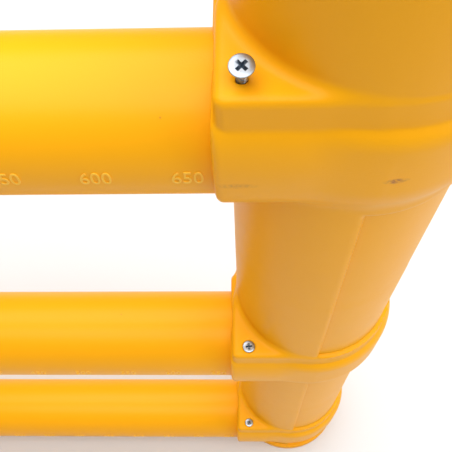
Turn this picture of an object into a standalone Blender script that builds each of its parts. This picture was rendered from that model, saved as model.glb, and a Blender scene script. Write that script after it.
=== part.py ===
"""Extendable three-rail barrier: two round hollow posts joined by three telescopic tubular rails.

Metres, +Z up. The origin is on the floor under the middle of the barrier's box, and the rails run
along X. The right post carries the thin scale tubes. The left post carries the wide tubes that they
slide in. The left post is the mirror image of the right one, so the helpers build in the right post's
own frame: its origin is on the floor under the post's axis, its rails leave towards -X, and they run
in front of that axis, on the -Y side, where their flanks are flush with the post's front.
"""

import math
from collections import namedtuple

import bmesh
import bpy
from mathutils import Matrix

# ---------------------------------------------------------------- driving sizes, in metres
GAP = 0.0003                 # seat gap between pieces that touch
SLIDE_GAP = 0.0006           # radial play of the scale tube in the wide tube

RAIL_COUNT = 3
LOWEST_RAIL = 0.080          # floor to the lowest rail's axis
RAIL_PITCH = 0.400           # from one rail's axis to the next
TUBE_RADIUS = 0.047          # scale tube, and the spigot of the wide tube
TUBE_WALL = 0.005
SCALE_TUBE_LENGTH = 0.700
WIDE_TUBE_WALL = 0.0044
WIDE_TUBE_LENGTH = 0.660     # from its mouth to the left post's collar
WIDE_TUBE_NECK = 0.004       # length of the step down to the spigot
OVERLAP_AT_REST = 0.180      # length of scale tube inside the wide tube

POST_RADIUS = 0.080
POST_WALL = 0.0045
HEAD_LENGTH = 0.1138         # plain part of the post over the top collar
CAP_RISE = 0.034
CAP_EDGE = 0.010             # upright part of the cap's rim
CAP_BRIM = 0.0015
CAP_SKIRT = 0.030
CAP_WALL = 0.003

TUBE_COVER = 0.0015          # how far the post's front lies outside the tubes' flank
COLLAR_WALL = 0.005          # around the tube
COLLAR_RING = 0.0070         # how far the collar stands off the post, all round and at its end face
COLLAR_SHOULDER = 0.009      # height of the rounding at the bulge's top
LEDGE_SETBACK = 0.002        # of the ledge's end from the collar's end face
LEDGE_HEIGHT = 0.0212        # of the ledge's top over the tube's crown
LEDGE_RING = 0.0012          # how far the ledge stands off the post all round
SOCKET_DEPTH = 0.0365

PANEL_DEPTH = 0.0036         # recessed field on the side away from the rails
PANEL_EDGE = 0.001           # where that field starts, measured from the post's axis
PANEL_TOP = 0.040            # the field's top, under the next rail's axis
PLINTH_HEIGHT = 0.014
PLINTH_RING = 0.005

SCREW_HEAD_RADIUS = 0.0062
SCREW_HEAD_HEIGHT = 0.0038
SCREW_RIM = 0.0007
SCREW_SHANK_RADIUS = 0.0030
SCREW_LENGTH = 0.048
SCREW_INSETS = (0.0195, 0.0190, 0.0157)  # from the collar's end face, from the lowest rail up
SCREW_SIDES = (0.0115, 0.0115, 0.0139)   # from the ledge's flank
SCREW_CLEARANCE = 0.0004
PROUD_SCREW = 0.0118         # the right post's top screw is left standing out by this
PROUD_LEAN = math.radians(12)            # and leans this far to the front, as its plain hole does

CORE_RADIUS = 0.030
CORE_WALL = 0.003
BASE_PLATE = 0.006
ANCHOR_HOLES = 4
ANCHOR_HOLE_RADIUS = 0.0055
ANCHOR_CIRCLE = 0.051
SPACER_THICKNESS = 0.012
SPACER_ABOVE_RAIL = 0.140    # spacer's underside over a rail's axis

CLAMP_WALL = 0.006
CLAMP_LENGTH = 0.042
CLAMP_LIP = 0.006            # part of the clamp that stands ahead of the wide tube's mouth
PLUG_SPIGOT = 0.024
PLUG_FLANGE = 0.003
PLUG_WALL = 0.003

# ---------------------------------------------------------------- sizes that follow
RAIL_HEIGHTS = [LOWEST_RAIL + i * RAIL_PITCH for i in range(RAIL_COUNT)]
RAIL_NAMES = ("lower", "middle", "upper")
TOP_RAIL = RAIL_COUNT - 1
WIDE_BORE = TUBE_RADIUS + SLIDE_GAP
WIDE_RADIUS = WIDE_BORE + WIDE_TUBE_WALL
SOCKET_RADIUS = TUBE_RADIUS + GAP
COLLAR_REACH = POST_RADIUS + COLLAR_RING     # post's axis to the collar's end face
LEDGE_REACH = COLLAR_REACH - LEDGE_SETBACK
COLLAR_RADIUS = SOCKET_RADIUS + COLLAR_WALL
FLANK = TUBE_RADIUS + TUBE_COVER
RAIL_OFFSET = POST_RADIUS - FLANK
CAVITY_RADIUS = POST_RADIUS - POST_WALL - PANEL_DEPTH
LEDGE_TOP = TUBE_RADIUS + LEDGE_HEIGHT
SHELL_HEIGHT = RAIL_HEIGHTS[TOP_RAIL] + LEDGE_TOP + HEAD_LENGTH
TUBE_INSERTED = SOCKET_DEPTH - GAP
EXPOSED_SCALE_TUBE = SCALE_TUBE_LENGTH - TUBE_INSERTED - OVERLAP_AT_REST
POST_SPAN = 2 * COLLAR_REACH + EXPOSED_SCALE_TUBE + WIDE_TUBE_LENGTH
CORE_TOP = SHELL_HEIGHT - CAP_SKIRT - 2 * GAP
CLAMP_RADIUS = WIDE_RADIUS + GAP + CLAMP_WALL
POST_Y = (CLAMP_RADIUS + RAIL_OFFSET - POST_RADIUS - COLLAR_RING) / 2
MOUTH = COLLAR_REACH + WIDE_TUBE_LENGTH      # wide tube's mouth, from the left post's axis
LOCK_X = -(MOUTH + CLAMP_LIP - CLAMP_LENGTH / 2)

# ---------------------------------------------------------------- fineness of the facets
POST_STEPS = 28
TUBE_STEPS = 24
SMALL_STEPS = 12
PANEL_RAMP = 0.02            # half the turn over which the panel's upright edge steps in
STATION_ROOM = 0.06          # least turn between an even station and a special one
PAST = 0.010                 # how far a cutter runs past what it opens

Post = namedtuple("Post", "side empty hand")


# ---------------------------------------------------------------- scene helpers
def clear_scene():
    for thing in list(bpy.data.objects):
        bpy.data.objects.remove(thing)


def material(name, color, roughness, metallic=0.0):
    found = bpy.data.materials.get(name)
    if found:
        return found
    made = bpy.data.materials.new(name)
    made.use_nodes = True
    shader = made.node_tree.nodes["Principled BSDF"]
    shader.inputs["Base Color"].default_value = (*color, 1.0)
    shader.inputs["Roughness"].default_value = roughness
    shader.inputs["Metallic"].default_value = metallic
    return made


def yellow():
    return material("yellow_polyethylene", (0.93, 0.49, 0.035), 0.38)


def zinc():
    return material("zinc_plated_steel", (0.74, 0.75, 0.77), 0.28, 1.0)


def galvanised():
    return material("galvanised_steel", (0.55, 0.57, 0.58), 0.45, 1.0)


def black_plastic():
    return material("black_polypropylene", (0.03, 0.03, 0.032), 0.5)


def make_post_frame(side, x, hand):
    """The empty that a post's pieces hang from. hand is -1 for the mirrored post."""
    made = bpy.data.objects.new("post_" + side, None)
    bpy.context.scene.collection.objects.link(made)
    made.location = (x, POST_Y, 0)
    return Post(side, made, hand)


def node(name, bm, finish, post, place=(0, 0, 0)):
    """One solid in its own object, built in the right post's frame and placed under its post."""
    bmesh.ops.scale(bm, vec=(post.hand, 1, 1), verts=bm.verts)
    bmesh.ops.recalc_face_normals(bm, faces=bm.faces)
    mesh = bpy.data.meshes.new(name)
    bm.to_mesh(mesh)
    bm.free()
    made = bpy.data.objects.new(name, mesh)
    bpy.context.scene.collection.objects.link(made)
    made.parent = post.empty
    made.location = (place[0] * post.hand, place[1], place[2])
    if finish:
        mesh.materials.append(finish())
        mesh.shade_smooth()
        mesh.set_sharp_from_angle(angle=math.radians(35))
    return made


def cutter(name, bm, post, place=(0, 0, 0)):
    made = node(name, bm, None, post, place)
    made.hide_render = True
    made.display_type = "WIRE"
    return made


def cut(target, tool):
    change = target.modifiers.new("cut_" + tool.name, "BOOLEAN")
    change.operation = "DIFFERENCE"
    change.solver = "EXACT"
    change.object = tool


# ---------------------------------------------------------------- mesh helpers
def skin(bm, rings, joined=False):
    """Bridges rings of points, all with as many points. Points that coincide become one vertex.
    A ring of one point is a pole. joined also bridges the last ring to the first."""
    known = {}

    def vertex(point):
        key = tuple(round(c, 7) for c in point)
        if key not in known:
            known[key] = bm.verts.new(point)
        return known[key]

    grid = [[vertex(p) for p in ring] for ring in rings]
    count = max(len(ring) for ring in grid)
    pairs = list(zip(grid, grid[1:]))
    if joined:
        pairs.append((grid[-1], grid[0]))
    for low, high in pairs:
        for i in range(count):
            j = (i + 1) % count
            corners = [low[i % len(low)], low[j % len(low)], high[j % len(high)], high[i % len(high)]]
            unique = [v for k, v in enumerate(corners) if v is not corners[k - 1]]
            if len(set(unique)) >= 3:
                bm.faces.new(unique)
    if not joined:
        for ring in (grid[0], grid[-1]):
            if len(ring) > 1:
                bm.faces.new(ring)
    return bm


def circle(radius, z, steps, middle):
    if radius <= 0:
        return [(middle[0], middle[1], z)]
    turn = [2 * math.pi * i / steps for i in range(steps)]
    return [(middle[0] + radius * math.cos(t), middle[1] + radius * math.sin(t), z) for t in turn]


def lathe(profile, steps, joined=False, bm=None, middle=(0, 0)):
    """Turns (radius, z) points about a vertical line through middle."""
    bm = bm or bmesh.new()
    return skin(bm, [circle(radius, z, steps, middle) for radius, z in profile], joined)


def along_rail(bm):
    """Lays a turned shape down, so that its +Z runs towards -X."""
    bmesh.ops.transform(bm, matrix=Matrix.Rotation(-math.pi / 2, 4, "Y"), verts=bm.verts)
    return bm


# ---------------------------------------------------------------- the post's outline
def stations():
    """Directions round the post, in radians, at which every level of the shell has a point."""
    even = [2 * math.pi * i / POST_STEPS for i in range(POST_STEPS)]
    panel = math.acos(PANEL_EDGE / POST_RADIUS)
    special = [s * (panel + nudge) for s in (-1, 1) for nudge in (-PANEL_RAMP, PANEL_RAMP)]
    for half_width, reach in ((COLLAR_RADIUS, COLLAR_REACH), (FLANK, LEDGE_REACH)):
        special.append(math.atan2(-RAIL_OFFSET - half_width, -reach))
    special = [t % (2 * math.pi) for t in special]
    clear = [t for t in even if min(abs(t - s) for s in special) > STATION_ROOM]
    return sorted(clear + special)


def block_reach(t, reach, half_width):
    """How far a block round the tube extends from the post's axis, or 0 where it doesn't."""
    front, rear = -RAIL_OFFSET - half_width, -RAIL_OFFSET + half_width
    across, along = math.sin(t), -math.cos(t)
    if along <= 1e-9:
        return 0
    end = reach / along
    if across < -1e-9:
        enters = rear / across if rear < 0 else 0
        return min(end, front / across) if enters < POST_RADIUS - PANEL_DEPTH else 0
    return min(end, rear / across if across > 1e-9 else end) if rear > 0 else 0


def post_reach(t, recessed=False):
    return POST_RADIUS - (PANEL_DEPTH if recessed and math.cos(t) > PANEL_EDGE / POST_RADIUS else 0)


def level(z, reach):
    return [(reach(t) * math.cos(t), reach(t) * math.sin(t), z) for t in stations()]


def bulge_level(z, half_width, recessed=False):
    ring = POST_RADIUS + COLLAR_RING - (COLLAR_RADIUS - half_width)
    return level(z, lambda t: max(post_reach(t, recessed), ring, block_reach(t, COLLAR_REACH, half_width)))


def ledge_level(z):
    return level(z, lambda t: max(POST_RADIUS + LEDGE_RING, block_reach(t, LEDGE_REACH, FLANK)))


def collar_levels(axis):
    """Levels of one collar, from under its bulge to the top of its ledge. The panel ends among them."""
    under = [COLLAR_RADIUS * math.sin(math.radians(a)) for a in (-76, -55, -36, -18, 0)]
    steps = [(z, z < -PANEL_TOP) for z in under] + [(-PANEL_TOP, True), (-PANEL_TOP, False)]
    steps.sort(key=lambda step: (step[0], not step[1]))
    rings = [bulge_level(axis + z, math.sqrt(COLLAR_RADIUS**2 - z**2), inside) for z, inside in steps]
    rings.append(bulge_level(axis + TUBE_RADIUS - COLLAR_SHOULDER, COLLAR_RADIUS))
    rings.append(bulge_level(axis + TUBE_RADIUS, (COLLAR_RADIUS + FLANK) / 2))
    rings.append(ledge_level(axis + TUBE_RADIUS))
    rings.append(ledge_level(axis + LEDGE_TOP))
    return rings


def shell_levels():
    """Every level of the shell, from the floor up."""
    rings = [level(z, lambda t: POST_RADIUS + PLINTH_RING) for z in (0, PLINTH_HEIGHT)]
    floor = PLINTH_HEIGHT
    for axis in RAIL_HEIGHTS:
        for z in (floor, axis - COLLAR_RADIUS):
            rings.append(level(z, lambda t: post_reach(t, True)))
        rings += collar_levels(axis)
        floor = axis + LEDGE_TOP
    return rings + [level(floor, post_reach), level(SHELL_HEIGHT, post_reach)]


# ---------------------------------------------------------------- the post's pieces
def socket_tool(post):
    """The bores that the tubes plug into, open at the collars' end faces."""
    bm = bmesh.new()
    ends = [(SOCKET_RADIUS, COLLAR_REACH - SOCKET_DEPTH), (SOCKET_RADIUS, COLLAR_REACH + PAST)]
    for axis in RAIL_HEIGHTS:
        lathe(ends, TUBE_STEPS, bm=bm, middle=(axis, -RAIL_OFFSET))
    return cutter("sockets_" + post.side, along_rail(bm), post)


def is_proud(post, rail):
    return (post.side, rail) == ("right", TOP_RAIL)


def screw_seat(post, rail):
    """Place of a collar screw's head in the ledge's top. Its +Z runs out along the screw."""
    place = (SCREW_INSETS[rail] - COLLAR_REACH, SCREW_SIDES[rail] - POST_RADIUS, RAIL_HEIGHTS[rail] + LEDGE_TOP)
    lean = PROUD_LEAN if is_proud(post, rail) else 0
    return Matrix.Translation(place) @ Matrix.Rotation(lean, 4, "X")


def drill_tool(post):
    """Screw holes, one for each rail, countersunk where the screw is driven home."""
    hole = SCREW_SHANK_RADIUS + SCREW_CLEARANCE
    sink = SCREW_HEAD_RADIUS + SCREW_CLEARANCE
    bm = bmesh.new()
    for rail in range(RAIL_COUNT):
        foot = (hole, -SCREW_LENGTH - SCREW_CLEARANCE)
        countersink = [(hole, -SCREW_HEAD_HEIGHT - SCREW_CLEARANCE), (sink, -SCREW_RIM - SCREW_CLEARANCE)]
        profile = [foot, (hole, PAST)] if is_proud(post, rail) else [foot, *countersink, (sink, PAST)]
        others = set(bm.verts)
        lathe(profile, SMALL_STEPS, bm=bm)
        drill = [v for v in bm.verts if v not in others]
        bmesh.ops.transform(bm, matrix=screw_seat(post, rail), verts=drill)
    return cutter("drills_" + post.side, bm, post)


def cavity_tool(post):
    ends = [(CAVITY_RADIUS, -PAST), (CAVITY_RADIUS, SHELL_HEIGHT + PAST)]
    return cutter("cavity_" + post.side, lathe(ends, POST_STEPS), post)


def post_shell(post, drills):
    shell = node("post_shell_" + post.side, skin(bmesh.new(), shell_levels()), yellow, post)
    for tool in (cavity_tool(post), socket_tool(post), drills):
        cut(shell, tool)


def post_cap(post):
    """Domed hollow cap whose skirt drops into the post's mouth."""
    rim, skirt = POST_RADIUS + CAP_BRIM, CAVITY_RADIUS - GAP
    seat, foot = SHELL_HEIGHT + GAP, SHELL_HEIGHT - CAP_SKIRT
    dome = [math.radians(a) for a in (0, 30, 60, 90)]
    rise = CAP_RISE - CAP_EDGE
    inner = [((skirt - CAP_WALL) * math.cos(a), seat + (rise - CAP_WALL) * math.sin(a)) for a in dome]
    outer = [(rim * math.cos(a), seat + CAP_EDGE + rise * math.sin(a)) for a in dome]
    inner[-1], outer[-1] = (0, inner[-1][1]), (0, outer[-1][1])
    profile = inner[::-1] + [(skirt - CAP_WALL, foot), (skirt, foot), (skirt, seat), (rim, seat)] + outer
    node("post_cap_" + post.side, lathe(profile, POST_STEPS), yellow, post)


def base_plate(post):
    """Steel foot plate inside the post, with holes for floor anchors."""
    radius = CAVITY_RADIUS - GAP
    ends = [(radius, 0), (radius, BASE_PLATE)]
    plate = node("base_plate_" + post.side, lathe(ends, POST_STEPS), galvanised, post)
    bm = bmesh.new()
    for i in range(ANCHOR_HOLES):
        t = 2 * math.pi * (i + 0.5) / ANCHOR_HOLES
        place = (ANCHOR_CIRCLE * math.cos(t), ANCHOR_CIRCLE * math.sin(t))
        ends = [(ANCHOR_HOLE_RADIUS, -PAST), (ANCHOR_HOLE_RADIUS, BASE_PLATE + PAST)]
        lathe(ends, SMALL_STEPS, bm=bm, middle=place)
    cut(plate, cutter("anchor_holes_" + post.side, bm, post))


def core_tube(post):
    inner = CORE_RADIUS - CORE_WALL
    foot = BASE_PLATE + GAP
    profile = [(inner, foot), (CORE_RADIUS, foot), (CORE_RADIUS, CORE_TOP), (inner, CORE_TOP)]
    node("core_tube_" + post.side, lathe(profile, POST_STEPS, joined=True), galvanised, post)


def core_spacer(post, name, axis):
    """Ring that keeps the core upright in the post."""
    hole, radius = CORE_RADIUS + GAP, CAVITY_RADIUS - GAP
    foot = axis + SPACER_ABOVE_RAIL
    top = foot + SPACER_THICKNESS
    profile = [(hole, foot), (radius, foot), (radius, top), (hole, top)]
    bm = lathe(profile, POST_STEPS, joined=True)
    node(f"core_spacer_{name}_{post.side}", bm, black_plastic, post)


def screw_profile(length):
    """Countersunk screw, its head's top at z 0 and its point below."""
    tip = SCREW_SHANK_RADIUS * 0.4
    return [
        (0, -length),
        (tip, -length),
        (SCREW_SHANK_RADIUS, -length + SCREW_SHANK_RADIUS),
        (SCREW_SHANK_RADIUS, -SCREW_HEAD_HEIGHT),
        (SCREW_HEAD_RADIUS, -SCREW_RIM),
        (SCREW_HEAD_RADIUS, 0),
        (0, 0),
    ]


def collar_screws(post):
    for rail in range(RAIL_COUNT):
        proud = PROUD_SCREW if is_proud(post, rail) else 0
        seat = screw_seat(post, rail) @ Matrix.Translation((0, 0, proud))
        bm = lathe(screw_profile(SCREW_LENGTH), SMALL_STEPS)
        bmesh.ops.transform(bm, matrix=seat.to_3x3().to_4x4(), verts=bm.verts)
        node(f"collar_screw_{RAIL_NAMES[rail]}_{post.side}", bm, zinc, post, seat.translation)


def build_post(post):
    """All of one post. Returns its drills, which also go through its tubes."""
    drills = drill_tool(post)
    post_shell(post, drills)
    post_cap(post)
    base_plate(post)
    core_tube(post)
    core_spacer(post, "lower", RAIL_HEIGHTS[0])
    core_spacer(post, "upper", RAIL_HEIGHTS[1])
    collar_screws(post)
    return drills


# ---------------------------------------------------------------- the rails
def tube_node(name, profile, finish, post, axis, joined=True):
    bm = along_rail(lathe(profile, TUBE_STEPS, joined=joined))
    return node(name, bm, finish, post, (0, -RAIL_OFFSET, axis))


def scale_tube(post, name, axis, drills):
    """Thin tube, plugged into the right post's collar, with its free end in the wide tube."""
    start = COLLAR_REACH - TUBE_INSERTED
    end = start + SCALE_TUBE_LENGTH
    inner = TUBE_RADIUS - TUBE_WALL
    profile = [(inner, start), (TUBE_RADIUS, start), (TUBE_RADIUS, end), (inner, end)]
    cut(tube_node("scale_tube_" + name, profile, yellow, post, axis), drills)


def end_plug(post, name, axis):
    """Cup that closes the scale tube's free end."""
    end = COLLAR_REACH - TUBE_INSERTED + SCALE_TUBE_LENGTH + GAP
    spigot = TUBE_RADIUS - TUBE_WALL - GAP
    bore = spigot - PLUG_WALL
    profile = [
        (0, end),
        (bore, end),
        (bore, end - PLUG_SPIGOT),
        (spigot, end - PLUG_SPIGOT),
        (spigot, end),
        (TUBE_RADIUS, end),
        (TUBE_RADIUS, end + PLUG_FLANGE),
        (0, end + PLUG_FLANGE),
    ]
    tube_node("end_plug_" + name, profile, black_plastic, post, axis, joined=False)


def lock_tool(post, name, axis):
    """Screw hole through the clamp and the wide tube's crown."""
    hole = SCREW_SHANK_RADIUS + SCREW_CLEARANCE
    sink = SCREW_HEAD_RADIUS + SCREW_CLEARANCE
    profile = [
        (hole, TUBE_RADIUS),
        (hole, CLAMP_RADIUS - SCREW_HEAD_HEIGHT - SCREW_CLEARANCE),
        (sink, CLAMP_RADIUS - SCREW_RIM - SCREW_CLEARANCE),
        (sink, CLAMP_RADIUS + PAST),
    ]
    bm = lathe(profile, SMALL_STEPS)
    return cutter("lock_hole_" + name, bm, post, (LOCK_X, -RAIL_OFFSET, axis))


def wide_tube(post, name, axis, drills, lock):
    """Wide tube, stepped down to a spigot that plugs into the left post's collar."""
    start = COLLAR_REACH - TUBE_INSERTED
    step = COLLAR_REACH + GAP
    inner = TUBE_RADIUS - TUBE_WALL
    profile = [
        (inner, start),
        (TUBE_RADIUS, start),
        (TUBE_RADIUS, step),
        (WIDE_RADIUS, step + WIDE_TUBE_NECK),
        (WIDE_RADIUS, MOUTH),
        (WIDE_BORE, MOUTH),
        (WIDE_BORE, step + 2 * WIDE_TUBE_NECK),
        (inner, step + WIDE_TUBE_NECK),
    ]
    tube = tube_node("wide_tube_" + name, profile, yellow, post, axis)
    cut(tube, drills)
    cut(tube, lock)


def mouth_clamp(post, name, axis, lock):
    """Ring over the wide tube's mouth, with a lip that guides the scale tube."""
    front = MOUTH + CLAMP_LIP
    back = front - CLAMP_LENGTH
    seat = WIDE_RADIUS + GAP
    chamfer = CLAMP_WALL / 3
    profile = [
        (seat, back),
        (CLAMP_RADIUS - chamfer, back),
        (CLAMP_RADIUS, back + chamfer),
        (CLAMP_RADIUS, front - chamfer),
        (CLAMP_RADIUS - chamfer, front),
        (WIDE_BORE, front),
        (WIDE_BORE, MOUTH + GAP),
        (seat, MOUTH + GAP),
    ]
    cut(tube_node("mouth_clamp_" + name, profile, yellow, post, axis), lock)


def lock_screw(post, name, axis):
    """Short screw whose point bears on the scale tube."""
    bm = lathe(screw_profile(CLAMP_RADIUS - TUBE_RADIUS - GAP), SMALL_STEPS)
    node("lock_screw_" + name, bm, zinc, post, (LOCK_X, -RAIL_OFFSET, axis + CLAMP_RADIUS))


def main():
    clear_scene()
    right = make_post_frame("right", POST_SPAN / 2, 1)
    left = make_post_frame("left", -POST_SPAN / 2, -1)
    right_drills, left_drills = build_post(right), build_post(left)
    for name, axis in zip(RAIL_NAMES, RAIL_HEIGHTS):
        scale_tube(right, name, axis, right_drills)
        end_plug(right, name, axis)
        lock = lock_tool(left, name, axis)
        wide_tube(left, name, axis, left_drills, lock)
        mouth_clamp(left, name, axis, lock)
        lock_screw(left, name, axis)


main()
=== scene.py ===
"""Looks of the extendable post and rail barrier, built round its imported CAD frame.

Metres, +Z up, in the frame's own axes. The rails run along X. The moulded posts are the zero level of a
distance field, meshed on a grid and moved onto that level, so that their edges and fillets are rounded as
on a moulding. Tubes, clamps and caps are turned. Screws and raised marks come from Geometry Nodes.
"""

import math

import bmesh
import bpy
import numpy as np
from bpy.props import FloatProperty, FloatVectorProperty, IntProperty, PointerProperty
from mathutils import Matrix, Vector


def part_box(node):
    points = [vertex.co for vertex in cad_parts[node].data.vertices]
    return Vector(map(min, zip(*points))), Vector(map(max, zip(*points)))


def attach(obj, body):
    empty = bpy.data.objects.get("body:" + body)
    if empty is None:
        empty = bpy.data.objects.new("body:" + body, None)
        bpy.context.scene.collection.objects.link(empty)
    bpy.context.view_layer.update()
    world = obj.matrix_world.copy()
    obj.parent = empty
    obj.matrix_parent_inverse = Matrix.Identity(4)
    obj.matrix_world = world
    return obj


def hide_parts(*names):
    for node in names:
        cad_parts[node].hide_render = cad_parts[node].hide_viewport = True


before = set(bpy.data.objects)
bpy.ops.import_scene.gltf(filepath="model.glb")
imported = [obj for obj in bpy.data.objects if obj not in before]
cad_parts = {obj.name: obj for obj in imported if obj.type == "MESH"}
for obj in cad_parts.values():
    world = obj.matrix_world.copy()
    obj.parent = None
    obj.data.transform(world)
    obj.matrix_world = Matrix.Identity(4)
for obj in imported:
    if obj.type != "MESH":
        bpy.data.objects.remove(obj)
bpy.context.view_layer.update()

bl_info = {
    "name": "Extendable Barrier",
    "version": (1, 0, 0),
    "blender": (4, 5, 0),
    "location": "3D View > Sidebar > Barrier",
    "description": "Moulded posts, telescopic rails and screws of an extendable barrier",
    "category": "Object",
}

# ---------------------------------------------------------------- sizes that the frame holds
SIDES = ("right", "left")
RAILS = ("lower", "middle", "upper")


def middle(node):
    low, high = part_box(node)
    return (low + high) / 2


POST = {side: middle(f"base_plate_{side}") for side in SIDES}
RAIL_HEIGHTS = [middle(f"scale_tube_{name}").z for name in RAILS]
RAIL_Y = middle("scale_tube_upper").y
TUBE_RADIUS = (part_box("scale_tube_upper")[1].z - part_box("scale_tube_upper")[0].z) / 2
WIDE_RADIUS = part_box("wide_tube_upper")[1].z - RAIL_HEIGHTS[2]
CLAMP_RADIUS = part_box("mouth_clamp_upper")[1].z - RAIL_HEIGHTS[2]
RAIL_OFFSET = POST["right"].y - RAIL_Y       # rails run this far in front of the post's axis
RAIL_PITCH = RAIL_HEIGHTS[1] - RAIL_HEIGHTS[0]
COLLAR_REACH = POST["right"].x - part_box("post_shell_right")[0].x
SHELL_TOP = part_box("post_shell_right")[1].z
CAP_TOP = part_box("post_cap_right")[1].z
CAP_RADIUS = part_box("post_cap_right")[1].x - POST["right"].x
CAP_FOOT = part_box("post_cap_right")[0].z
LEDGE_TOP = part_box("collar_screw_middle_right")[1].z - RAIL_HEIGHTS[1]
CAVITY_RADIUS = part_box("base_plate_right")[1].x - POST["right"].x + 0.0003
SOCKET_RADIUS = TUBE_RADIUS + 0.0003
SOCKET_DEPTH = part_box("scale_tube_upper")[1].x - (POST["right"].x - COLLAR_REACH) + 0.0003
SCREW_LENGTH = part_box("collar_screw_lower_right")[1].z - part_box("collar_screw_lower_right")[0].z
HEAD_RADIUS = (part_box("collar_screw_lower_right")[1].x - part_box("collar_screw_lower_right")[0].x) / 2
LOCK_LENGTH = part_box("lock_screw_lower")[1].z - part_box("lock_screw_lower")[0].z
SCALE_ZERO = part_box("scale_tube_upper")[0].x - 0.0004  # the marks count from the scale tube's free end
COLLAR_TOP = TUBE_RADIUS + 0.002             # over the rail's axis
SHOULDER_DEPTH = 0.0085                      # how far a collar's side turns in up to its top
LEDGE_FOOT = TUBE_RADIUS - 0.012             # where the ledge starts, inside the collar
HOLE_RADIUS = 0.0034                         # holes of the screws that are driven home
TIGHT_HOLE_RADIUS = 0.00315                  # hole of a screw that stands proud
HEAD_GAP = 0.0004                            # play round a countersunk head
SINK_DEPTH = 0.0042


def screw_seat(node):
    """A long screw's place, from its own mesh: its origin on the head's top, its +Z out along the screw."""
    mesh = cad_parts[node].data
    flat = np.empty(len(mesh.vertices) * 3)
    mesh.vertices.foreach_get("co", flat)
    points = np.unique(flat.reshape(-1, 3).round(6), axis=0)
    centre = points.mean(axis=0)
    axis = np.linalg.svd(points - centre)[2][0]
    axis = axis if axis[2] > 0 else -axis
    top = centre + axis * ((points - centre) @ axis).max()
    return Matrix.LocRotScale(Vector(top), Vector((0, 0, 1)).rotation_difference(Vector(axis)), None)


SEATS = {side: [screw_seat(f"collar_screw_{name}_{side}") for name in RAILS] for side in SIDES}


# ---------------------------------------------------------------- sizes and colours to change
def length_prop(name, default, description):
    return FloatProperty(name=name, default=default, unit="LENGTH", description=description)


def angle_prop(name, degrees, description):
    return FloatProperty(name=name, default=math.radians(degrees), subtype="ANGLE", description=description)


def colour_prop(name, default, description):
    return FloatVectorProperty(
        name=name, default=default, subtype="COLOR", min=0, max=1, description=description)


class PostSizes(bpy.types.PropertyGroup):
    collar_ring: length_prop("Collar ring", 0.007, "How far the collar stands off the post all round")
    collar_wall: length_prop("Collar wall", 0.005, "Plastic round a tube's socket")
    end_rounding: length_prop("End rounding", 0.0045, "Rounding of the collar's end face")
    swell: length_prop("Swell", 0.0036, "How far the collar's sides swell over a tube")
    swell_rise: length_prop("Swell rise", 0.032, "Height over which the swelling turns in to the top")
    shoulder: length_prop("Shoulder", 0.014, "Rounding of the collar's upper edge round the post")
    ledge_ring: length_prop("Ledge ring", 0.0012, "How far the ledge stands off the post all round")
    ledge_setback: length_prop("Ledge setback", 0.002, "From the collar's end face to the ledge's")
    ledge_rounding: length_prop("Ledge rounding", 0.0055, "Rounding of its upper edge over the rail")
    ring_rounding: length_prop("Ring rounding", 0.0014, "Rounding of its upper edge on the other side")
    ledge_corner: length_prop("Ledge corner", 0.0055, "Radius of the ledge's front corner in plan")
    ledge_sweep: length_prop("Ledge sweep", 0.038, "Radius of the ledge's rear corner in plan")
    foot_fillet: length_prop("Foot fillet", 0.007, "Fillet between the ledge's top and the post")
    panel_depth: length_prop("Panel depth", 0.0036, "Depth of the recessed field, away from the rails")
    panel_edge: length_prop("Panel edge", 0.001, "Where that field starts, from the post's axis")
    panel_rounding: length_prop("Panel rounding", 0.0034, "Rounding of that field's edge")
    panel_top: length_prop("Panel top", 0.040, "The field's top, under the next rail's axis")
    plinth_ring: length_prop("Plinth ring", 0.005, "How far the plinth stands off the post")
    plinth_height: length_prop("Plinth height", 0.014, "Floor to the plinth's top")
    cell: length_prop("Cell", 0.003, "Size of the mesh's cells on plain faces")


class ScaleSizes(bpy.types.PropertyGroup):
    step: IntProperty(name="Step", default=50, min=1,
        description="Millimetres from one raised mark to the next")
    marks: IntProperty(name="Marks", default=13, min=1,
        description="How many marks the scale has")
    digit_height: length_prop("Digit height", 0.0100, "Height of a digit on the tube's surface")
    narrowing: FloatProperty(name="Narrowing", default=0.88, min=0.2, max=1.5,
        description="Width of a digit as a share of its natural width")
    relief: length_prop("Relief", 0.00055, "How far the digits stand off the tube")
    elevation: angle_prop("Elevation", 3.6, "How high on the tube's front the digits' middle lies")


class Finishes(bpy.types.PropertyGroup):
    yellow: colour_prop("Yellow", (0.95, 0.42, 0.005), "Colour of the polyethylene")
    # The raised numbers' lighter colour is a painted highlight on the raised digits, not rubbing.
    marks: colour_prop("Marks", (1.0, 0.56, 0.05), "Colour of the raised numbers, which are rubbed lighter")
    dirt: colour_prop("Dirt", (0.30, 0.075, 0.05), "Colour of the scuffs and specks")
    zinc: colour_prop("Zinc", (0.36, 0.41, 0.46), "Colour of the screws")
    peel: FloatProperty(name="Peel", default=0.25, min=0, max=1,
        description="Strength of the plastic's orange peel")


class StageSizes(bpy.types.PropertyGroup):
    camera_back: length_prop("Camera back", 0.2288, "Camera in front of the rails")
    camera_left: length_prop("Camera left", 0.0695, "Camera from the right post's axis towards the rails")
    camera_up: length_prop("Camera up", 0.2911, "Camera over the upper rail")
    pitch: angle_prop("Pitch", 62, "How far the camera looks down")
    yaw: angle_prop("Yaw", 3.84, "How far the camera turns to the left of +Y")
    roll: angle_prop("Roll", 3.74, "How far the camera leans")
    lens: FloatProperty(name="Lens", default=50.26, min=10, description="Focal length in millimetres")
    overhead: FloatProperty(name="Overhead light", default=695, unit="POWER",
        description="Power of the broad light over the barrier")
    side: FloatProperty(name="Side light", default=18, unit="POWER",
        description="Power of the light beside the right post")
    fill: FloatProperty(name="Fill light", default=0.19, min=0,
        description="Strength of the even light from all round")


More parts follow.
